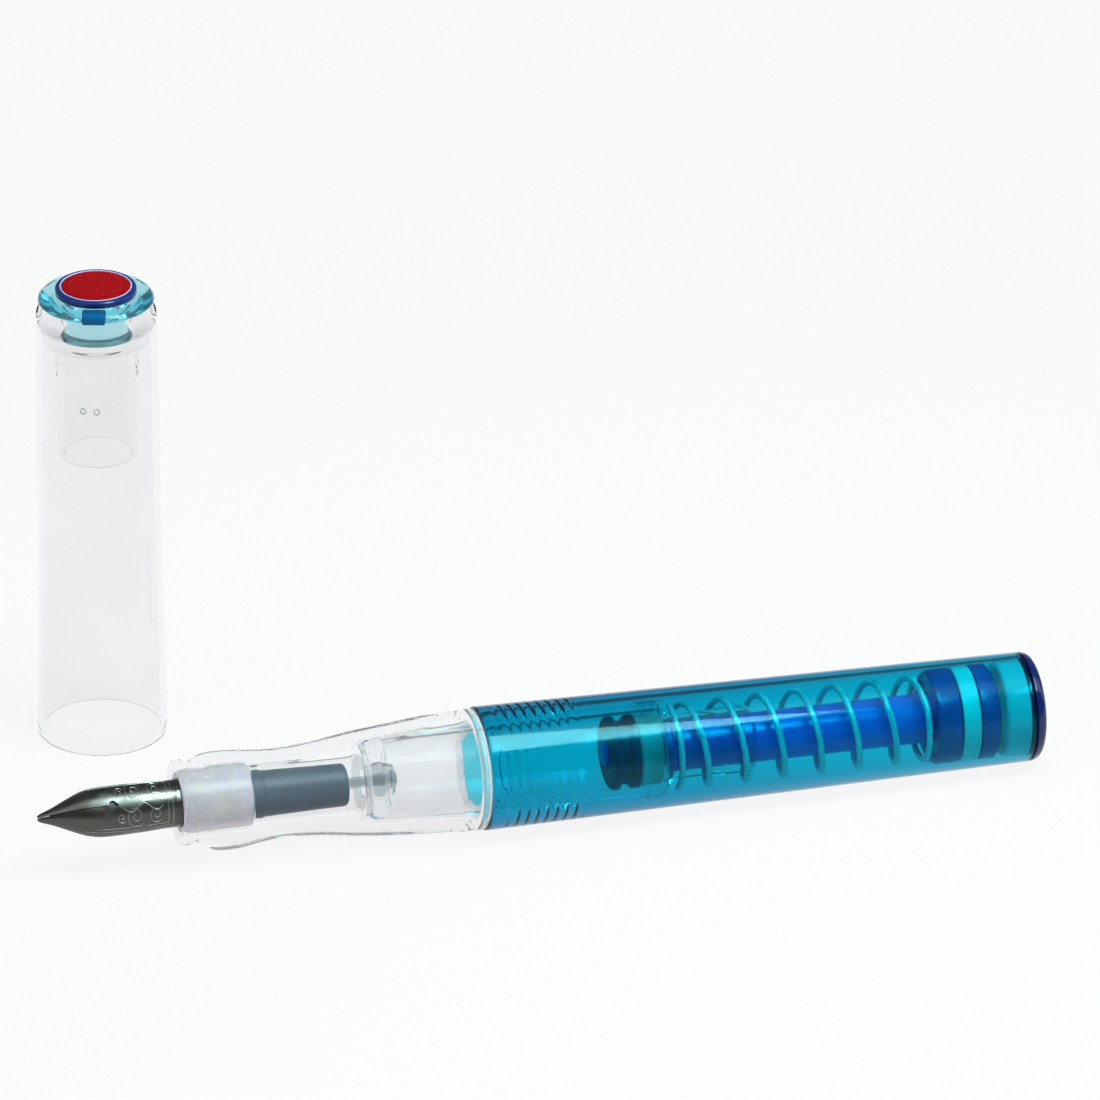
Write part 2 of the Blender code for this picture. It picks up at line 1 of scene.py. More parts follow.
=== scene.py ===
"""The looks of a clear sprung-piston fountain pen lying beside its standing cap.

Every turned piece is drawn again from the outline of its CAD node, with its corners rounded and
many more facets, and with threads, ribs and flats that the CAD solid is too coarse for. The nib,
its engraving, the spring and the small details are drawn from curves. Stations and radii are
millimetres in the frame of the pen's axis, whose zero is the barrel's mouth and whose minus side
is the nib's, or heights and radii in the frame of the cap.
"""

import json
import math
from collections import defaultdict

import bmesh
import bpy
from mathutils import Matrix, Vector


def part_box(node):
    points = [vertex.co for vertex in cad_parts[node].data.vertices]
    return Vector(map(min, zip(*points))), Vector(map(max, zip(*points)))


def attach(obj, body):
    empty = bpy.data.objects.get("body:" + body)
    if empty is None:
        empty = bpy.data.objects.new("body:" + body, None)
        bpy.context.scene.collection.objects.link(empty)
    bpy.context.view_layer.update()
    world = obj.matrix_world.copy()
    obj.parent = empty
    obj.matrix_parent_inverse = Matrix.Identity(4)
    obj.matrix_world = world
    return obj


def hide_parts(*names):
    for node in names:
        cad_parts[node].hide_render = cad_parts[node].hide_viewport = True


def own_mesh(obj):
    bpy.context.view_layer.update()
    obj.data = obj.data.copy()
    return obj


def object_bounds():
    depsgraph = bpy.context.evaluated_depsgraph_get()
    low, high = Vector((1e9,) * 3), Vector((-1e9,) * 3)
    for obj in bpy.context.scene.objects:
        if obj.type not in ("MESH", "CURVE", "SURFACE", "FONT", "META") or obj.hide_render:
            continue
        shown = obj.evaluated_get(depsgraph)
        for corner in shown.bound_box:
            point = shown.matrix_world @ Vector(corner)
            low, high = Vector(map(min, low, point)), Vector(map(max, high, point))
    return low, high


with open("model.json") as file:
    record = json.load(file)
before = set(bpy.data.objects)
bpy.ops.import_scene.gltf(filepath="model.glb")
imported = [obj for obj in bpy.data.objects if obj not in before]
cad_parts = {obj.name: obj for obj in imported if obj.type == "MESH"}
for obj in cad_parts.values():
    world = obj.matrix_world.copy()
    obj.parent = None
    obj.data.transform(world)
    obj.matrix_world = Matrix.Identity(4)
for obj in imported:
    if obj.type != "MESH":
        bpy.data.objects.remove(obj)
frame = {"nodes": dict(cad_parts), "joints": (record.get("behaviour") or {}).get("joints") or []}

CAD_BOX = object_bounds()
MM = 0.001
TAU = 2 * math.pi
SIDES = 144

# The pen's roll, and what is cut into or laid on the pieces
PEN_ROLL = math.radians(50)
FLAT_ANGLE = math.radians(60)  # each finger flat lies this far round from the nib's face
FLAT_DEPTHS = [(-36.6, 7), (-35.3, 5.0), (-33, 4.85), (-30, 4.76), (-26, 4.62), (-22, 4.87)]
FLAT_DEPTHS += [(-17.5, 5.4), (-15, 5.72), (-10, 6.3), (-5, 7.3)]
FLAT_BLEND = 0.12
SECTION_BORE = [(-15.4, 4.98), (-1.1, 5.85)]
BORE_THREAD = {"start": 1.4, "end": 13.2, "depth": 0.14, "inside": 6.7}
BARREL_THREAD = {"start": 2.0, "end": 12.0, "pitch": 1.25, "root": 5.9, "crest": 6.35}
LINER_THREAD = {"start": 49.4, "end": 53.4, "pitch": 1.0, "root": 5.0, "crest": 5.3}
HOLE_STATION = -47.4
HOLE_R = 0.55
SLIT_WIDTH = 0.09
NIB_SHEET = 0.28
SPRING_TURNS = 6.5
SPRING_START = 0.26  # of a turn from the nib's face to the wire's front end
RIB_ANGLE = math.radians(-97)
RIB_HEIGHTS = (14.0, 28.0)
RIB_DEPTH = 0.5
RIB_WIDTH = 0.7
RIB_COUNT = 6
CAP_BORE = [(0, 7.5), (30, 7.0), (57.6, 6.75)]
STEM_R = 4.25
LUG_ANGLE = math.radians(-106)
LUG_SIZE = (1.25, 2.9, 2.1)  # up the cap, round it and out from its axis
LUG_FROM = (59.9, 5.35)  # height and radius of its inner lower edge
VENT_HEIGHT = 46.8
VENT_ANGLES = (math.radians(-124.7), math.radians(-104.5))
VENT_R = 0.35
VENT_REACH = 4.95  # the vents' rims lie this far from the cap's axis
VENT_DEPTH = 0.7
LIP_R = 4.45  # the dark ring's pale inner edge
EMBLEM_RINGS = (3.3, 1.0)
PETALS = 8
PETAL_R = (2.1, 0.75)  # a petal's middle from the disc's axis, and half its length
RELIEF = 0.07  # wire radius of the petals and rings, which are sunk by INSET
INSET = 0.03
# the dark outer part of the end plug is painted shade for its rounded edge
RIM_R = 5.4  # the barrel's end plug is dark outside this radius
RIM_FRONT = 70.8  # and behind this station


# ---- frames ---------------------------------------------------------------------------------


def joint(name):
    return next(j for j in frame["joints"] if j["name"] == name)


def pen_frame():
    """Its +X runs from the nib to the barrel's end and its +Z out of the nib's face."""
    turn = joint("barrel_turn")
    along = Vector(turn["axis"])
    pitch = math.atan2(-along.z, along.x)
    place = Matrix.Translation(Vector(turn["pos_m"]))
    return place @ Matrix.Rotation(pitch, 4, "Y") @ Matrix.Rotation(PEN_ROLL, 4, "X")


def cap_frame():
    """Its +X runs up the cap's axis from the floor."""
    low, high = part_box("cap_shell")
    place = Vector(((low.x + high.x) / 2, (low.y + high.y) / 2, low.z))
    return Matrix.Translation(place) @ Matrix.Rotation(-math.pi / 2, 4, "Y")


PEN = pen_frame()
CAP = cap_frame()


def outline(node, home):
    """The (station, radius) points of a turned CAD node, in order, and whether they close.

    They are read in the half-plane behind the pen's nib, or on the cap's +X side, which no flat
    or rib touches.
    """
    back = home.inverted()
    mesh = frame["nodes"][node].data
    keys = {}
    for vertex in mesh.vertices:
        p = back @ vertex.co / MM
        if abs(p.y) < 0.005 and p.z < 0.005:
            keys[vertex.index] = (round(p.x, 2), round(abs(p.z), 2))
    links = defaultdict(set)
    for edge in mesh.edges:
        a, b = (keys.get(i) for i in edge.vertices)
        if a is not None and b is not None and a != b:
            links[a].add(b)
            links[b].add(a)
    ends = sorted(k for k in links if len(links[k]) == 1)
    first = ends[0] if ends else min(links)
    path, last = [first], None
    while True:
        ahead = [k for k in sorted(links[path[-1]]) if k != last]
        if not ahead or ahead[0] == first or len(path) > len(links):
            break
        last = path[-1]
        path.append(ahead[0])
    if not ends:
        return path, True
    capped = [(path[0][0], 0.0)] if path[0][1] > 0 else []
    return capped + path + ([(path[-1][0], 0.0)] if path[-1][1] > 0 else []), False


def soften(points, closed, radius, steps=4):
    """The outline with each corner off the axis drawn as a curve."""
    made = []
    for i, (station, reach) in enumerate(points):
        corner = Vector((station, reach))
        if not closed and i in (0, len(points) - 1) or radius <= 0:
            made.append((station, reach))
            continue
        before = Vector(points[i - 1]) - corner
        after = Vector(points[(i + 1) % len(points)]) - corner
        start = corner + before.normalized() * min(radius, before.length * 0.48)
        end = corner + after.normalized() * min(radius, after.length * 0.48)
        for step in range(steps + 1):
            t = step / steps
            p = start * (1 - t) ** 2 + corner * 2 * t * (1 - t) + end * t * t
            made.append((p.x, p.y))
    return made


def mesh_from(name, vertices, faces, sharp=40):
    mesh = bpy.data.meshes.new(name)
    mesh.from_pydata([Vector(v) * MM for v in vertices], [], faces)
    shape = bmesh.new()
    shape.from_mesh(mesh)
    bmesh.ops.remove_doubles(shape, verts=shape.verts, dist=1e-7)
    bmesh.ops.recalc_face_normals(shape, faces=shape.faces)
    shape.to_mesh(mesh)
    shape.free()
    mesh.shade_smooth()
    mesh.set_sharp_from_angle(angle=math.radians(sharp))
    return mesh


def turned(name, points, closed, reach=None, sides=SIDES):
    """A mesh turned about +X. reach(station, radius, angle) may change the radius."""
    vertices, rings, faces = [], [], []
    for station, radius in points:
        if radius < 1e-4:
            rings.append([len(vertices)])
            vertices.append((station, 0, 0))
            continue
        rings.append(range(len(vertices), len(vertices) + sides))
        for side in range(sides):
            angle = TAU * side / sides
            r = reach(station, radius, angle) if reach else radius
            vertices.append((station, -r * math.sin(angle), r * math.cos(angle)))
    pairs = list(zip(rings, rings[1:]))
    if closed:
        pairs.append((rings[-1], rings[0]))
    for first, second in pairs:
        for side in range(sides):
            after = (side + 1) % sides
            corners = [first[side % len(first)], first[after % len(first)]]
            corners += [second[after % len(second)], second[side % len(second)]]
            faces.append(list(dict.fromkeys(corners)))
    return mesh_from(name, vertices, faces)


def swept(path, radii, sides, ends=True):
    """The vertices and faces of a round wire along points, its radius given point by point."""
    vertices, faces = [], []
    normal = None
    for i, here in enumerate(path):
        along = (path[min(i + 1, len(path) - 1)] - path[max(i - 1, 0)]).normalized()
        if normal is None:
            normal = along.orthogonal().normalized()
        normal = (normal - along * normal.dot(along)).normalized()
        across = along.cross(normal)
        for side in range(sides):
            angle = TAU * side / sides
            offset = normal * math.cos(angle) + across * math.sin(angle)
            vertices.append(here + offset * radii[i])
    for i in range(len(path) - 1):
        for side in range(sides):
            after = (side + 1) % sides
            a, b = i * sides, (i + 1) * sides
            faces.append((a + side, a + after, b + after, b + side))
    if ends:
        faces.append(list(range(sides)))
        faces.append([(len(path) - 1) * sides + side for side in range(sides)])
    return vertices, faces


def join(vertices, faces, more, sheets):
    """Adds more vertices and the faces between them to a growing mesh."""
    faces += [[k + len(vertices) for k in f] for f in sheets]
    vertices += more


def add_piece(name, mesh, material, body, nodes, home):
    """Puts a mesh made in a frame in place, to ride on its body and stand for CAD nodes."""
    mesh.transform(home)
    mesh.materials.append(material)
    obj = bpy.data.objects.new(name, mesh)
    bpy.context.scene.collection.objects.link(obj)
    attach(obj, body)
    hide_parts(*nodes)
    return obj


# ---- materials ------------------------------------------------------------------------------


def node(tree, kind, **values):
    made = tree.nodes.new(kind)
    for key, value in values.items():
        setattr(made, key, value)
    return made


def noise(tree, scale, detail=3.0, stretch=(1, 1, 1)):
    """Noise that stays on the piece, in features per metre."""
    place = node(tree, "ShaderNodeTexCoord")
    mapping = node(tree, "ShaderNodeMapping")
    mapping.inputs["Scale"].default_value = stretch
    made = node(tree, "ShaderNodeTexNoise")
    made.inputs["Scale"].default_value = scale
    made.inputs["Detail"].default_value = detail
    tree.links.new(place.outputs["Object"], mapping.inputs["Vector"])
    tree.links.new(mapping.outputs["Vector"], made.inputs["Vector"])
    return made.outputs["Fac"]


def spread(tree, source, low, high):
    """The noise spread over low to high."""
    ramp = node(tree, "ShaderNodeMapRange")
    ramp.inputs["From Min"].default_value = 0.3
    ramp.inputs["From Max"].default_value = 0.7
    ramp.inputs["To Min"].default_value = low
    ramp.inputs["To Max"].default_value = high
    tree.links.new(source, ramp.inputs["Value"])
    return ramp.outputs["Result"]


def mix(tree, factor, first, second):
    made = node(tree, "ShaderNodeMix", data_type="RGBA")
    tree.links.new(factor, made.inputs[0])
    for socket, colour in ((made.inputs[6], first), (made.inputs[7], second)):
        if isinstance(colour, tuple):
            socket.default_value = (*colour, 1)
        else:
            tree.links.new(colour, socket)
    return made.outputs[2]


def base(name, roughness, metallic=0.0, clear=0.0, ior=1.49):
    """A Principled material whose steady values sit on its own sockets."""
    made = bpy.data.materials.new(name)
    made.use_nodes = True
    tree = made.node_tree
    surface = tree.nodes["Principled BSDF"]
    surface.inputs["Roughness"].default_value = roughness
    surface.inputs["Metallic"].default_value = metallic
    surface.inputs["Transmission Weight"].default_value = clear
    surface.inputs["IOR"].default_value = ior
    return made, tree, surface


def bump(tree, surface, height, distance):
    made = node(tree, "ShaderNodeBump")
    made.inputs["Strength"].default_value = 1
    made.inputs["Distance"].default_value = distance
    tree.links.new(height, made.inputs["Height"])
    tree.links.new(made.outputs["Normal"], surface.inputs["Normal"])


def plastic(name, colour, roughness, clear=0.0, ior=1.49):
    """Moulded plastic: a little uneven in colour and gloss, with faint flow ripples."""
    made, tree, surface = base(name, roughness, clear=clear, ior=ior)
    cloud = noise(tree, 160, stretch=(0.5, 1, 1))
    darker = tuple(c * 0.94 for c in colour)
    tree.links.new(mix(tree, cloud, darker, colour), surface.inputs["Base Color"])
    scuffs = noise(tree, 900, 6, (0.25, 1, 1))
    gloss = spread(tree, scuffs, max(roughness - 0.02, 0.01), roughness + 0.04)
    tree.links.new(gloss, surface.inputs["Roughness"])
    bump(tree, surface, noise(tree, 420, 2), 4e-6)
    return made


def absorbing(material, colour, density):
    """Adds a tint that deepens with the thickness of the plastic."""
    tree = material.node_tree
    volume = node(tree, "ShaderNodeVolumeAbsorption")
    volume.inputs["Color"].default_value = (*colour, 1)
    volume.inputs["Density"].default_value = density
    out = tree.nodes["Material Output"]
    tree.links.new(volume.outputs["Volume"], out.inputs["Volume"])
    return material


def tint_gloss(material, colour):
    surface = material.node_tree.nodes["Principled BSDF"]
    surface.inputs["Specular Tint"].default_value = (*colour, 1)


def steel(name, colour, roughness, metallic=1.0):
    """Polished steel with fine brushing along the pen."""
    made, tree, surface = base(name, roughness, metallic=metallic)
    streaks = noise(tree, 2600, 4, (0.06, 1, 1))
    darker = tuple(c * 0.82 for c in colour)
    tree.links.new(mix(tree, streaks, darker, colour), surface.inputs["Base Color"])
    smudge = spread(tree, noise(tree, 500, 4), roughness * 0.7, roughness * 1.5)
    tree.links.new(smudge, surface.inputs["Roughness"])
    bump(tree, surface, streaks, 2e-6)
    return made


def rubber(name, colour):
    made, tree, surface = base(name, 0.5)
    bloom = noise(tree, 700, 5)
    lighter = tuple(c * 1.8 + 0.01 for c in colour)
    tree.links.new(mix(tree, bloom, colour, lighter), surface.inputs["Base Color"])
    tree.links.new(spread(tree, bloom, 0.42, 0.62), surface.inputs["Roughness"])
    bump(tree, surface, noise(tree, 3000, 3), 1.2e-5)
    return made


def sheen_painted_plastic(name, first, second):
    """Milky plastic whose patches go from one pale tint to another: painted highlight, the white
    veil and tints standing for strong gloss on clear plastic.
    """
    made, tree, surface = base(name, 0.18, clear=0.55, ior=1.3)
    patches = spread(tree, noise(tree, 420, 2), 0, 1)
    tree.links.new(mix(tree, patches, first, second), surface.inputs["Base Color"])
    tree.links.new(spread(tree, noise(tree, 900, 4), 0.1, 0.3), surface.inputs["Roughness"])
    bump(tree, surface, noise(tree, 650, 2), 2e-5)
    return made


def materials():
    made = {}
    made["cap"] = plastic("cap_clear", (0.968, 0.970, 0.976), 0.03, 1.0, 1.08)
    made["liner"] = plastic("liner_clear", (0.994, 0.995, 0.997), 0.04, 1.0, 1.05)
    made["clear"] = plastic("clear_plastic", (0.96, 0.985, 0.985), 0.03, 1.0, 1.15)
    made["chamber"] = plastic("chamber_clear", (0.98, 0.99, 0.995), 0.03, 1.0, 1.14)
    # the sleeve's milky white, lilac and yellow are painted highlight on what is clear plastic
    made["sleeve"] = sheen_painted_plastic("sleeve_painted_highlight", (0.88, 0.82, 1.0), (1.0, 0.99, 0.90))
    made["grip"] = plastic("milky_clear_plastic", (0.965, 0.962, 0.975), 0.07, 0.96, 1.07)
    made["barrel"] = plastic("blue_clear_plastic", (0.05, 0.95, 0.99), 0.03, 1.0, 1.25)
    absorbing(made["barrel"], (0.0, 0.60, 0.77), 860)
    tint_gloss(made["barrel"], (0.5, 1, 1))
    made["plug"] = plastic("turquoise_clear_plastic", (0.6, 1.0, 1.0), 0.06, 0.35, 1.2)
    # opaque and dark: painted shade for the barrel end's rounded edge, seen edge-on through thick
    # plastic
    made["rim"] = plastic("end_rim_painted_shade", (0.0, 0.008, 0.085), 0.1)
    made["cyan"] = plastic("light_blue_clear_plastic", (0.66, 0.97, 1.0), 0.04, 1.0, 1.3)
    absorbing(made["cyan"], (0.10, 0.72, 0.84), 190)
    made["stem"] = plastic("pale_blue_clear_plastic", (0.62, 0.95, 1.0), 0.05, 0.97, 1.06)
    absorbing(made["stem"], (0.20, 0.78, 0.88), 60)
    # deep blue and opaque: painted shade for the lug, which is the finial's own cyan plastic
    made["lug"] = plastic("lug_painted_shade", (0.0, 0.08, 0.21), 0.15, ior=1.2)
    made["rod"] = plastic("blue_rod_plastic", (0.01, 0.17, 0.70), 0.2)
    made["knob"] = plastic("blue_knob_plastic", (0.005, 0.10, 0.38), 0.2)
    made["green"] = plastic("pale_green_plastic", (1.0, 1.0, 0.90), 0.25)
    made["head"] = plastic("green_clear_plastic", (0.70, 1.0, 0.88), 0.15, 0.5, 1.2)
    made["navy"] = plastic("navy_plastic", (0.002, 0.016, 0.12), 0.12, ior=1.4)
    made["lilac"] = plastic("lilac_edge", (0.50, 0.42, 0.68), 0.2)
    made["slate"] = plastic("inked_plastic", (0.004, 0.032, 0.066), 0.4, ior=1.3)
    made["silicone"] = plastic("clear_silicone", (0.95, 0.97, 0.98), 0.1, 0.8, 1.12)
    # black: painted shade seen in the nib's slit and breather hole
    made["rubber"] = rubber("black_rubber", (0.012, 0.012, 0.014))
    made["seal"] = rubber("dark_blue_rubber", (0.004, 0.05, 0.09))
    made["smoke"] = plastic("grey_clear_plastic", (0.62, 0.69, 0.71), 0.15, 0.9, 1.1)
    # the nib's steel is made very dark: painted shade for the dim surroundings its face reflects
    made["nib"] = steel("nib_steel", (0.105, 0.103, 0.096), 0.3)
    # lighter than the nib's steel: the engraving's real pattern, with painted glints
    made["engraving"] = steel("engraving_painted_glint", (0.36, 0.35, 0.33), 0.35)
    made["wire"] = steel("spring_wire", (0.97, 1.0, 0.97), 0.35, metallic=0.25)
    made["red"] = plastic("red_enamel", (0.25, 0.001, 0.003), 0.3, ior=1.12)
    made["red_relief"] = plastic("red_relief", (0.38, 0.008, 0.010), 0.3, ior=1.12)
    return made


PAINT = materials()


# ---- section, nib and feed ------------------------------------------------------------------


def angle_apart(a, b):
    return abs((a - b + math.pi) % TAU - math.pi)


def along_line(value, points):
    """The value of a straight-stepped line through (station, value) points."""
    for (a, first), (b, second) in zip(points, points[1:]):
        if value <= b:
            return first + (second - first) * max(value - a, 0) / (b - a)
    return points[-1][1]


def along_curve(value, points):
    """A smooth curve through (station, value) points."""
    stations = [p[0] for p in points]
    value = min(max(value, stations[0]), stations[-1])
    i = max(k for k, s in enumerate(stations[:-1]) if s <= value)
    (x0, y0), (x1, y1) = points[i], points[i + 1]
    slopes = []
    for k in (i, i + 1):
        a, b = points[max(k - 1, 0)], points[min(k + 1, len(points) - 1)]
        slopes.append((b[1] - a[1]) / (b[0] - a[0]))
    h = x1 - x0
    t = (value - x0) / h
    start = (2 * t**3 - 3 * t * t + 1) * y0 + (t**3 - 2 * t * t + t) * h * slopes[0]
    return start + (3 * t * t - 2 * t**3) * y1 + (t**3 - t * t) * h * slopes[1]


def finger_flats(station, radius, angle):
    """The section's radius with a shallow finger flat on either side of the nib's face."""
    bore = along_line(station, SECTION_BORE)
    if not FLAT_DEPTHS[0][0] < station < FLAT_DEPTHS[-1][0] or radius < bore + 0.05:
        return radius
    depth = along_curve(station, FLAT_DEPTHS)
    for middle in (FLAT_ANGLE, -FLAT_ANGLE):
        away = angle_apart(angle, middle)
        if away < math.radians(60):
            flat = depth / math.cos(away)
            both = math.hypot(radius - flat, FLAT_BLEND)
            radius = (radius + flat - both) / 2 + FLAT_BLEND / 2.6
    return radius


def dense(points, closed, length):
    """The outline with points added so that no stretch is longer than the length."""
    made = []
    last = len(points) if closed else len(points) - 1
    for i in range(last):
        a, b = Vector(points[i]), Vector(points[(i + 1) % len(points)])
        parts = max(1, math.ceil((b - a).length / length))
        made += [tuple(a + (b - a) * k / parts) for k in range(parts)]
    return made if closed else made + [points[-1]]


def add_grip():
    points, closed = outline("grip_section", PEN)
    points = dense(soften(points, closed, 1.2, 5), closed, 0.6)
    mesh = turned("grip_section_fine", points, closed, finger_flats)
    add_piece(mesh.name, mesh, PAINT["grip"], "pen", ["grip_section"], PEN)


NIB_TIP = -56.5
NIB_TAIL = -31.0
NIB_CROWN = [(NIB_TIP, 0.26), (-56.1, 0.5), (-54.6, 1.2), (-52.6, 2.1), (-50.2, 2.8), (-46, 3.0)]
NIB_CROWN += [(-39, 2.95), (NIB_TAIL, 2.95)]
NIB_HALF = [(NIB_TIP, 0.3), (-56.1, 0.55), (-54.6, 1.1), (-52.6, 2.0), (-50.8, 2.75), (-49, 3.15)]
NIB_HALF += [(-46.5, 3.2), (-43, 3.1), (-40, 2.95), (NIB_TAIL, 2.95)]
NIB_EDGE = [(NIB_TIP, 0.05), (-52, -0.1), (-46, -0.3), (-39, -0.35), (NIB_TAIL, -0.35)]


def nib_point(station, inset, across):
    """A point on the nib, -1 to 1 from edge to edge, this far inside its outer face."""
    crown = along_curve(station, NIB_CROWN)
    half = along_curve(station, NIB_HALF)
    edge = along_curve(station, NIB_EDGE)
    rise = max(crown - edge, 0.02)
    radius = (half * half + rise * rise) / (2 * rise)
    centre = crown - radius
    angle = across * math.atan2(half, edge - centre)
    inner = radius - min(inset, 0.6 * rise)
    return Vector((station, -inner * math.sin(angle), centre + inner * math.cos(angle)))


def add_nib():
    """The sheet is two halves that part at the slit and meet behind the breather hole."""
    rows = 96
    stations = []
    for i in range(rows + 1):
        share = i / rows
        stations.append(NIB_TIP + (NIB_TAIL - NIB_TIP) * share**1.25)
    columns = 40
    vertices, faces = [], []
    for station in stations:
        half = along_curve(station, NIB_HALF)
        gap = SLIT_WIDTH / 2 if station < HOLE_STATION else 0
        bulge = HOLE_R**2 - (station - HOLE_STATION) ** 2
        gap = max(gap, math.sqrt(max(bulge, 0)))
        start = min(gap / max(half, 0.01) * 0.7, 0.45)
        for inset in (0, NIB_SHEET):
            for side in (-1, 1):
                for column in range(columns // 2 + 1):
                    share = start + (1 - start) * column / (columns // 2)
                    vertices.append(nib_point(station, inset, side * share))
    width = columns // 2 + 1
    stride = 4 * width
    for row in range(rows):
        for side in (0, 1):
            outer = row * stride + side * width
            inner = outer + 2 * width
            for column in range(width - 1):
                a, b = outer + column, inner + column
                faces.append((a, a + 1, a + 1 + stride, a + stride))
                faces.append((b, b + stride, b + 1 + stride, b + 1))
            for a, b in ((outer, inner), (outer + width - 1, inner + width - 1)):
                faces.append((a, a + stride, b + stride, b))
    for first in (0, rows * stride):
        for side in (0, 1):
            outer = first + side * width
            for column in range(width - 1):
                a = outer + column
                faces.append((a, a + 1, a + 1 + 2 * width, a + 2 * width))
    mesh = bpy.data.meshes.new("nib_fine")
    mesh.from_pydata([v * MM for v in vertices], [], faces)
    shape = bmesh.new()
    shape.from_mesh(mesh)
    bmesh.ops.remove_doubles(shape, verts=shape.verts, dist=2e-6)
    shared = [f for f in shape.faces if len(f.verts) < 3 or f.calc_area() < 1e-14]
    bmesh.ops.delete(shape, geom=shared, context="FACES_ONLY")
    inside = [f for f in shape.faces if all(abs(v.co.y) < 1e-8 for v in f.verts)]
    bmesh.ops.delete(shape, geom=inside, context="FACES_ONLY")
    bmesh.ops.recalc_face_normals(shape, faces=shape.faces)
    shape.to_mesh(mesh)
    shape.free()
    mesh.shade_smooth()
    mesh.set_sharp_from_angle(angle=math.radians(40))
    add_piece("nib_fine", mesh, PAINT["nib"], "pen", ["nib"], PEN)


def add_engraving():
    """A border and mirrored scrolls laid on the nib's face, in a lighter steel whose extra
    brightness is painted glint.
    """
    strokes = []
    border = [(s, 0.74) for s in frange(-51.2, -39.6, 30)]
    strokes.append(([(s, a) for s, a in border], 0.05))
    inner = [(s, 0.64) for s in frange(-50.2, -39.9, 26)]
    strokes.append((inner, 0.03))
    for centre, size, turns in ((-44.6, 1.25, 1.6), (-42.0, 0.95, 1.5), (-46.4, 0.6, 1.2)):
        path = []
        for i in range(40):
            t = i / 39
            angle = TAU * turns * t + 0.6
            reach = size * (1 - 0.85 * t)
            path.append((centre + reach * math.cos(angle), 0.34 + reach * 0.25 * math.sin(angle)))
        strokes.append((path, 0.055))
    for station in (-40.4, -39.8):
        strokes.append(([(station, a / 20) for a in range(15)], 0.045))
    leaf = [(s, 0.12 + 0.1 * math.sin((s + 46) * 1.9)) for s in frange(-46.2, -41.0, 30)]
    strokes.append((leaf, 0.04))
    vertices, faces = [], []
    for path, radius in strokes:
        for mirror in (-1, 1):
            points = [nib_point(s, 0.01, mirror * a) for s, a in path]
            ends = [min(i, len(points) - 1 - i) for i in range(len(points))]
            radii = [radius * min(1, 0.3 + away * 0.3) for away in ends]
            more, sheets = swept(points, radii, 6)
            join(vertices, faces, more, sheets)
    mesh = mesh_from("nib_engraving", vertices, faces)
    add_piece(mesh.name, mesh, PAINT["engraving"], "pen", ["nib"], PEN)


def frange(first, last, count):
    return [first + (last - first) * i / (count - 1) for i in range(count)]


def feed_reach(station, radius, angle):
    """The feed is round below, and its crown stays inside the nib."""
    crown = min(2.5, along_curve(station, NIB_CROWN) - NIB_SHEET - 0.12)
    if angle_apart(angle, 0) < math.radians(104):
        return min(radius, crown)
    return radius


def add_feed():
    points, closed = outline("feed", PEN)
    points = soften(points, closed, 0.12, 3)
    mesh = turned("feed_fine", points, closed, feed_reach)
    add_piece(mesh.name, mesh, PAINT["clear"], "pen", ["feed"], PEN)


def add_channel():
    """The groove along the feed's crown, seen through the slit and the hole, in black: painted
    shade for the dark inside them.
    """
    stations = frange(-55, -46, 40)
    path = [Vector((s, 0, along_curve(s, NIB_CROWN) - NIB_SHEET - 0.1)) for s in stations]
    radii = [min(0.08 + (s + 55) * 0.08, 0.6) for s in stations]
    vertices, faces = swept(path, radii, 12)
    flat = []
    for x, y, z in vertices:
        crown = along_curve(x, NIB_CROWN) - NIB_SHEET - 0.06
        flat.append(Vector((x, y, min(z, crown - 0.5 * y * y / 3.0))))
    mesh = mesh_from("feed_channel", flat, faces)
    add_piece(mesh.name, mesh, PAINT["rubber"], "pen", ["feed"], PEN)


# ---- plain turned pieces --------------------------------------------------------------------


def add_turned(node_name, paint, body, home, radius=0.15):
    """A CAD node drawn again with round corners."""
    points, closed = outline(node_name, home)
    mesh = turned(node_name + "_fine", soften(points, closed, radius), closed)
    add_piece(mesh.name, mesh, PAINT[paint], body, [node_name], home)


def helix(thread):
    """A reach for a rounded ridge that climbs a pitch in each turn."""

    def reach(station, radius, angle):
        start, end = thread["start"], thread["end"]
        if not start <= station <= end or radius < thread["root"] - 0.05:
            return radius
        turns = (station - start) / thread["pitch"] - angle / TAU
        ridge = (0.5 - 0.5 * math.cos(TAU * turns)) ** 1.5
        fade = max(min(1, (station - start) / 1.2, (end - station) / 1.2), 0)
        return thread["root"] + (thread["crest"] - thread["root"]) * ridge * fade

    return reach


def barrel_bore(station, radius, angle):
    """The barrel's bore with the thread that takes the chamber's."""
    start, end = BORE_THREAD["start"], BORE_THREAD["end"]
    if not start < station < end or radius > BORE_THREAD["inside"]:
        return radius
    turns = (station - start) / BARREL_THREAD["pitch"] - angle / TAU
    fade = min(1, (station - start) / 2, (end - station) / 2)
    return radius + BORE_THREAD["depth"] * fade * (0.5 - 0.5 * math.cos(TAU * turns))


def add_barrel():
    points, closed = outline("barrel", PEN)
    points = soften(points, closed, 0.2)
    fine = []
    for i, point in enumerate(points):
        after = points[(i + 1) % len(points)]
        fine.append(point)
        if max(point[1], after[1]) < BORE_THREAD["inside"] and abs(point[0] - after[0]) > 5:
            steps = frange(BORE_THREAD["start"] - 0.1, BORE_THREAD["end"] + 0.1, 120)
            steps = steps if point[0] < after[0] else steps[::-1]
            slope = (after[1] - point[1]) / (after[0] - point[0])
            fine += [(s, point[1] + (s - point[0]) * slope) for s in steps]
    mesh = turned("barrel_fine", fine, closed, barrel_bore)
    add_piece(mesh.name, mesh, PAINT["barrel"], "barrel", ["barrel"], PEN)


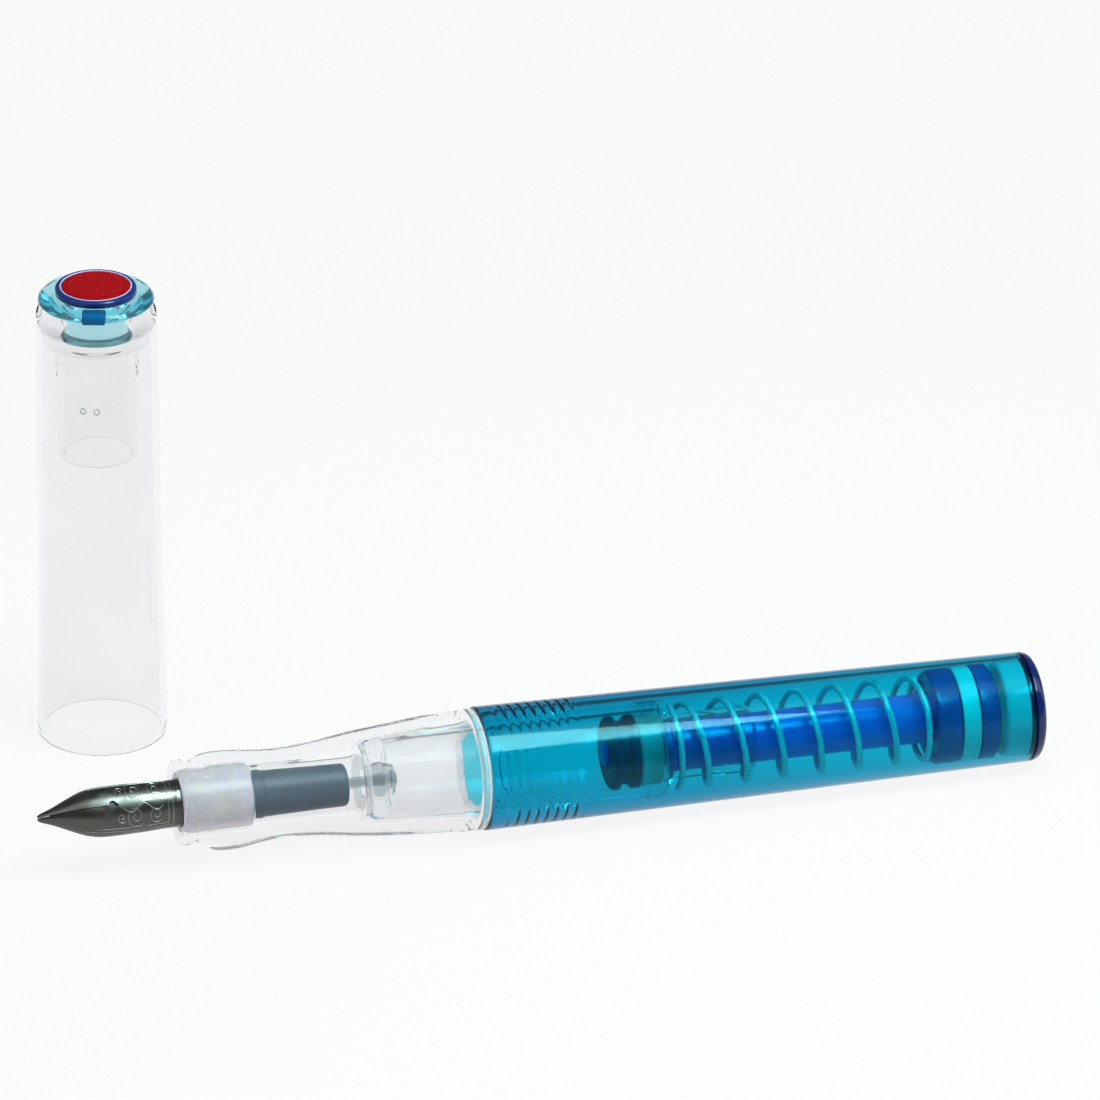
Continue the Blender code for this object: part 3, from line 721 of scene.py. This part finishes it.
def add_threaded(node_name, paint, body, home, thread, reach=None):
    """A turned node whose plain ridges are drawn again as one helix."""
    points, closed = outline(node_name, home)
    low, high = thread["start"] - 0.05, thread["end"] + 0.45
    ridged = [low <= p[0] <= high and p[1] > thread["root"] - 0.3 for p in points]
    first = ridged.index(True)
    last = len(ridged) - 1 - ridged[::-1].index(True)
    count = round((thread["end"] - thread["start"]) / thread["pitch"] * 14)
    ridge = [(s, thread["root"]) for s in frange(thread["start"], thread["end"], count)]
    if points[first][0] > points[last][0]:
        ridge.reverse()
    before = soften(points[:first], False, 0.1) if first > 1 else points[:first]
    after = soften(points[last + 1 :], False, 0.1) if last < len(points) - 2 else points[last + 1 :]
    if reach:
        before, after = dense(before, False, 0.2), dense(after, False, 0.2)
    mesh = turned(node_name + "_fine", before + ridge + after, closed, reach or helix(thread))
    add_piece(mesh.name, mesh, PAINT[paint], body, [node_name], home)


def vented(station, radius, angle):
    """The liner's thread, and two small round vents sunk in its wall."""
    radius = helix(LINER_THREAD)(station, radius, angle)
    if abs(station - VENT_HEIGHT) > VENT_R or radius < 4.5:
        return radius
    for vent in VENT_ANGLES:
        across = angle_apart(angle, cap_turn(vent)) * radius
        if math.hypot(across, station - VENT_HEIGHT) < VENT_R:
            return radius - VENT_DEPTH
    return radius


def add_vent_rims():
    """The grey edges of the liner's two vents."""
    vertices, faces = [], []
    for vent in VENT_ANGLES:
        path = []
        for i in range(25):
            t = TAU * i / 24
            angle = cap_turn(vent) + VENT_R * math.sin(t) / VENT_REACH
            out = Vector((0, -math.sin(angle), math.cos(angle))) * VENT_REACH
            path.append(Vector((VENT_HEIGHT + VENT_R * math.cos(t), 0, 0)) + out)
        more, sheets = swept(path, [0.1] * 25, 8, False)
        join(vertices, faces, more, sheets)
    mesh = mesh_from("vent_rims", vertices, faces)
    add_piece(mesh.name, mesh, PAINT["smoke"], "cap", ["inner_cap"], CAP)


def extent(node_name, home):
    """(front station, rear station, outer radius) of a node."""
    back = home.inverted()
    places = [back @ v.co / MM for v in frame["nodes"][node_name].data.vertices]
    stations = [p.x for p in places]
    return min(stations), max(stations), max(math.hypot(p.y, p.z) for p in places)


def add_plug():
    """The barrel's end: a clear block inside a rounded rim painted dark, as painted shade for the
    rounded end seen edge-on through thick plastic.
    """
    points, closed = outline("barrel_end_plug", PEN)
    points = dense(soften(points, closed, 0.3), closed, 0.2)
    block = [(s, r if s < RIM_FRONT else min(r, RIM_R - 0.02)) for s, r in points]
    mesh = turned("barrel_end_block", block, closed)
    add_piece(mesh.name, mesh, PAINT["plug"], "barrel", ["barrel_end_plug"], PEN)
    rim = [(s, r) for s, r in points if s >= RIM_FRONT and r > RIM_R]
    rim = [(rim[0][0], RIM_R)] + rim + [(rim[-1][0], RIM_R)]
    mesh = turned("barrel_end_shade_rim", rim, True)
    add_piece(mesh.name, mesh, PAINT["rim"], "barrel", ["barrel_end_plug"], PEN)


def add_spring():
    """The wire follows a helix whose end turns close up and lie flat."""
    front, rear, outer = extent("spring", PEN)
    wire = 0.4
    middle = outer - wire
    steps = 48
    turns = SPRING_TURNS + 1.5
    path = []
    for i in range(round(turns * steps) + 1):
        turn = i / steps
        closed_front = min(turn, 0.75)
        closed_rear = max(turn - (turns - 0.75), 0)
        open_turns = turn - closed_front - closed_rear
        pitch = (rear - front - 2 * wire - 1.5 * 2 * wire) / SPRING_TURNS
        station = front + wire + (closed_front + closed_rear) * 2 * wire + open_turns * pitch
        angle = TAU * (turn - SPRING_START)
        out = Vector((0, -math.sin(angle), math.cos(angle)))
        path.append(Vector((station, 0, 0)) + out * middle)
    vertices, faces = swept(path, [wire] * len(path), 14)
    mesh = mesh_from("spring_fine", vertices, faces)
    piece = add_piece(mesh.name, mesh, PAINT["wire"], "pen", ["spring"], PEN)
    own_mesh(piece)


# ---- cap ------------------------------------------------------------------------------------


def cap_turn(angle):
    """An angle round the cap from +X, as its turned pieces measure it."""
    return angle + math.pi


def grip_ribs(station, radius, angle):
    """The cap's bore with round-topped ribs that centre the pen's section."""
    low, high = RIB_HEIGHTS
    bore = along_line(station, CAP_BORE)
    if radius > bore + 0.05 or not low < station < high:
        return radius
    spacing = TAU / RIB_COUNT
    away = (angle - cap_turn(RIB_ANGLE)) % spacing
    away = min(away, spacing - away) * radius
    if away > RIB_WIDTH:
        return radius
    ease = min(1, (station - low) / 2.5, (high - station) / 0.8)
    return radius - RIB_DEPTH * ease * (0.5 + 0.5 * math.cos(math.pi * away / RIB_WIDTH))


def add_cap_shell():
    points, closed = outline("cap_shell", CAP)
    points = dense(soften(points, closed, 0.25), closed, 0.5)
    mesh = turned("cap_shell_fine", points, closed, grip_ribs, 288)
    add_piece(mesh.name, mesh, PAINT["cap"], "cap", ["cap_shell"], CAP)


def add_finial():
    """The glossy flange round the paler stem that fills the shell's hole."""
    points = outline("cap_finial", CAP)[0]
    first = next(i for i, p in enumerate(points) if p[1] > STEM_R)
    under, seat = points[first][0], points[-1][0]
    stem = soften(points[: first - 1] + [(seat, points[first - 1][1]), (seat, 0)], False, 0.2)
    flange = soften(points[first:-1] + [(seat, STEM_R), (under, STEM_R)], True, 0.3)
    for name, shape, ring, paint in (
        ("finial_stem", stem, False, "stem"),
        ("finial_flange", flange, True, "cyan"),
    ):
        mesh = turned(name, shape, ring)
        add_piece(name, mesh, PAINT[paint], "cap", ["cap_finial"], CAP)


def add_lug():
    """A rounded block on the front of the finial's flange, of the finial's cyan plastic but painted
    deep blue: painted shade where the flange's highlight breaks.
    """
    shape = bmesh.new()
    bmesh.ops.create_cube(shape, size=1)
    bmesh.ops.scale(shape, vec=Vector(LUG_SIZE) * MM, verts=shape.verts)
    edges = list(shape.edges)
    bmesh.ops.bevel(shape, geom=edges, offset=0.25 * MM, segments=4, profile=0.5, affect="EDGES")
    mesh = bpy.data.meshes.new("roll_stop")
    shape.to_mesh(mesh)
    shape.free()
    mesh.shade_smooth()
    turn = cap_turn(LUG_ANGLE)
    height, out = LUG_FROM[0] + LUG_SIZE[0] / 2, LUG_FROM[1] + LUG_SIZE[2] / 2
    offset = Vector((height, -out * math.sin(turn), out * math.cos(turn)))
    home = CAP @ Matrix.Translation(offset * MM) @ Matrix.Rotation(turn, 4, "X")
    add_piece("roll_stop", mesh, PAINT["lug"], "cap", ["cap_finial"], home)


def add_emblem():
    """A plain ring of petals in low relief on the red disc."""
    top = extent("finial_disc", CAP)[1]
    vertices, faces = [], []
    for radius in EMBLEM_RINGS:
        path = [ring_point(top, radius, TAU * i / 96) for i in range(97)]
        more, sheets = swept(path, [RELIEF] * 97, 8, False)
        join(vertices, faces, more, sheets)
    for petal in range(PETALS):
        middle = TAU * petal / PETALS
        path = []
        for i in range(33):
            t = TAU * i / 32
            radius = PETAL_R[0] + PETAL_R[1] * math.cos(t)
            path.append(ring_point(top, radius, middle + 0.24 * math.sin(t)))
        more, sheets = swept(path, [RELIEF] * 33, 6, False)
        join(vertices, faces, more, sheets)
    mesh = mesh_from("disc_relief", vertices, faces)
    add_piece(mesh.name, mesh, PAINT["red_relief"], "cap", ["finial_disc"], CAP)


def add_lip():
    """The pale inner edge of the dark ring round the disc."""
    top = extent("finial_bezel", CAP)[1]
    path = [ring_point(top, LIP_R, TAU * i / SIDES) for i in range(SIDES + 1)]
    vertices, faces = swept(path, [0.09] * (SIDES + 1), 8, False)
    mesh = mesh_from("bezel_lip", vertices, faces)
    add_piece(mesh.name, mesh, PAINT["lilac"], "cap", ["finial_bezel"], CAP)


def ring_point(height, radius, angle):
    return Vector((height - INSET, -radius * math.sin(angle), radius * math.cos(angle)))


# ---- studio ---------------------------------------------------------------------------------


def add_floor():
    mesh = bpy.data.meshes.new("floor")
    half = 4.0
    corners = [(-half, -half, 0), (half, -half, 0), (half, half, 0), (-half, half, 0)]
    mesh.from_pydata(corners, [], [(0, 1, 2, 3)])
    made, tree, surface = base("floor_white", 0.9)
    tint = mix(tree, noise(tree, 3), (0.05, 0.05, 0.05), (0.055, 0.055, 0.055))
    tree.links.new(tint, surface.inputs["Base Color"])
    surface.inputs["Specular IOR Level"].default_value = 0
    surface.inputs["Emission Color"].default_value = (1, 1, 1, 1)
    surface.inputs["Emission Strength"].default_value = 0.89
    mesh.materials.append(made)
    floor = bpy.data.objects.new("floor", mesh)
    bpy.context.scene.collection.objects.link(floor)
    floor.location.z = CAD_BOX[0][2] - 0.00002


def add_world():
    """A studio that is white behind the object and dim above and behind the camera."""
    world = bpy.data.worlds.new("studio")
    bpy.context.scene.world = world
    world.use_nodes = True
    tree = world.node_tree
    place = node(tree, "ShaderNodeTexCoord")
    parts = node(tree, "ShaderNodeSeparateXYZ")
    tree.links.new(place.outputs["Generated"], parts.inputs[0])
    front = node(tree, "ShaderNodeMath", operation="MULTIPLY")
    front.inputs[1].default_value = -1
    tree.links.new(parts.outputs["Y"], front.inputs[0])
    lift = node(tree, "ShaderNodeMath", operation="ARCTAN2")
    tree.links.new(parts.outputs["Z"], lift.inputs[0])
    tree.links.new(front.outputs[0], lift.inputs[1])
    share = node(tree, "ShaderNodeMath", operation="DIVIDE")
    share.inputs[1].default_value = math.pi
    tree.links.new(lift.outputs[0], share.inputs[0])
    ramp = node(tree, "ShaderNodeValToRGB")
    tree.links.new(share.outputs[0], ramp.inputs[0])
    stops = ((0, 0.5), (0.06, 0.2), (0.32, 0.2), (0.36, 1.9), (0.48, 1.9), (0.54, 0.25), (1, 0.25))
    for _ in range(len(stops) - 2):
        ramp.color_ramp.elements.new(0.5)
    for element, (position, level) in zip(ramp.color_ramp.elements, stops):
        element.position = position
        element.color = (level / 2, level / 2, level / 2, 1)
    background = tree.nodes["Background"]
    tree.links.new(ramp.outputs[0], background.inputs["Color"])
    background.inputs["Strength"].default_value = 2


def add_softbox():
    """A bright panel above the pen's front half, mirrored along the barrel."""
    data = bpy.data.lights.new("softbox", "AREA")
    data.shape = "RECTANGLE"
    data.size, data.size_y = 0.10, 0.17
    radiance = 24
    data.color = (0.70, 1.0, 0.97)
    data.energy = radiance * math.pi * data.size * data.size_y
    panel = bpy.data.objects.new("softbox", data)
    bpy.context.scene.collection.objects.link(panel)
    low, high = (Vector(corner) for corner in CAD_BOX)
    panel.location = Vector((0.055, (low.y + high.y) / 2 - 0.125, 0.30))
    aim = Vector((0, -0.02, 0)) - panel.location
    panel.rotation_euler = aim.to_track_quat("-Z", "Y").to_euler()


def add_camera():
    turn, lift, roll = math.radians(-15.6), math.radians(26.4), math.radians(0.2)
    distance = 1.5
    pixels_per_mm = 7.936
    frame_width = 1100
    level = Vector((-math.sin(turn), math.cos(turn), 0))
    forward = level * math.cos(lift) - Vector((0, 0, math.sin(lift)))
    right = Vector((math.cos(turn), math.sin(turn), 0))
    up = right.cross(forward)
    target = Vector((0, 0, 0.020)) + right * 0.00633 + up * 0.00720
    data = bpy.data.cameras.new("camera")
    data.sensor_width = 36
    data.lens = pixels_per_mm * distance / MM / frame_width * data.sensor_width
    data.clip_end = 20
    camera = bpy.data.objects.new("camera", data)
    bpy.context.scene.collection.objects.link(camera)
    axes = Matrix((right, up, -forward)).transposed().to_4x4()
    axes = axes @ Matrix.Rotation(roll, 4, "Z")
    camera.matrix_world = Matrix.Translation(target - forward * distance) @ axes
    bpy.context.scene.camera = camera


# ---- assembly -------------------------------------------------------------------------------

add_grip()
add_nib()
add_engraving()
add_feed()
add_channel()
add_turned("nib_sleeve", "sleeve", "pen", PEN)
add_turned("ink_collector", "slate", "pen", PEN, 0.3)
add_turned("breather_tube", "smoke", "pen", PEN, 0.1)
add_turned("inlet_grommet", "smoke", "pen", PEN, 0.3)
add_turned("chamber_seal", "silicone", "pen", PEN, 0.3)
add_threaded("ink_chamber", "chamber", "pen", PEN, BARREL_THREAD)
add_turned("piston_guide", "clear", "pen", PEN)
add_spring()
add_turned("plunger_rod", "rod", "plunger", PEN)
add_turned("piston_seal", "seal", "plunger", PEN)
add_turned("piston_head", "head", "plunger", PEN)
add_turned("plunger_knob", "knob", "plunger", PEN, 0.3)
add_turned("knob_band", "green", "plunger", PEN)
add_turned("barrel_ring", "silicone", "mouth_ring", PEN)
add_barrel()
add_plug()
add_cap_shell()
add_threaded("inner_cap", "liner", "cap", CAP, LINER_THREAD, vented)
add_vent_rims()
add_finial()
add_lug()
add_turned("finial_bezel", "navy", "cap", CAP)
add_turned("finial_disc", "red", "cap", CAP)
add_emblem()
add_lip()

add_floor()
add_world()
add_softbox()
add_camera()
bpy.context.scene.view_settings.view_transform = "Standard"
bpy.context.scene.cycles.max_bounces = 32
bpy.context.scene.cycles.glossy_bounces = 16
bpy.context.scene.cycles.transmission_bounces = 32
